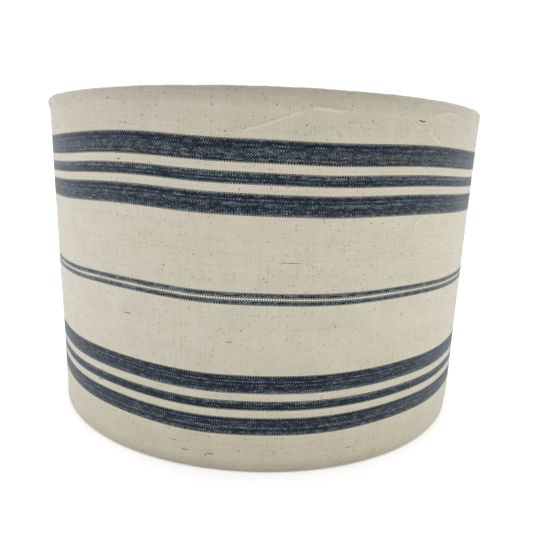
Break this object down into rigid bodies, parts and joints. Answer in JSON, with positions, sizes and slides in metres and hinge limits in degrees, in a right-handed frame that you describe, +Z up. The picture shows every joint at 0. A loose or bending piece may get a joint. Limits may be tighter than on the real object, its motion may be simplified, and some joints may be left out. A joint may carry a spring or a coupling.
{
  "type": "drum lampshade",
  "caption": "Rolled-edge drum lampshade of striped woven cloth on a rigid liner, with wire rings and a reversible tilting gimbal for the lampholder.",
  "frame": {"origin": "centre of the bottom rim, on the surface the shade stands on", "axes": "+Z up along the drum's axis, X along the gimbal's pivot line, cloth seam at +Y (back), front at -Y"},
  "size_m": [0.3034, 0.3034, 0.207],
  "materials": {
    "striped_cloth": "unbleached plain-weave cotton with woven blue-grey stripes, matt",
    "liner": "white satin lampshade film",
    "coated_wire": "white powder coat",
    "tape": "clear double-sided film tape",
    "rivet_steel": "zinc-plated",
    "reducer_plastic": "white moulded plastic"
  },
  "bodies": {
    "shade": {"fabric_cover": "striped_cloth", "liner_panel": "liner", "top_ring": "coated_wire", "bottom_ring": "coated_wire", "top_ring_tape": "tape", "bottom_ring_tape": "tape", "pivot_lug_left": "coated_wire", "pivot_lug_right": "coated_wire", "pivot_rivet_left": "rivet_steel", "pivot_rivet_right": "rivet_steel", "pivot_washer_left": "rivet_steel", "pivot_washer_right": "rivet_steel"},
    "gimbal": {"gimbal_arm_left": "coated_wire", "gimbal_arm_right": "coated_wire", "fitter_ring": "coated_wire", "reducer_ring": "reducer_plastic"}
  },
  "joints": [
    {"name": "gimbal_tilt", "type": "hinge", "parent": "shade", "child": "gimbal", "pos_m": [0, 0, 0.179], "axis": [1, 0, 0], "continuous": true}
  ]
}
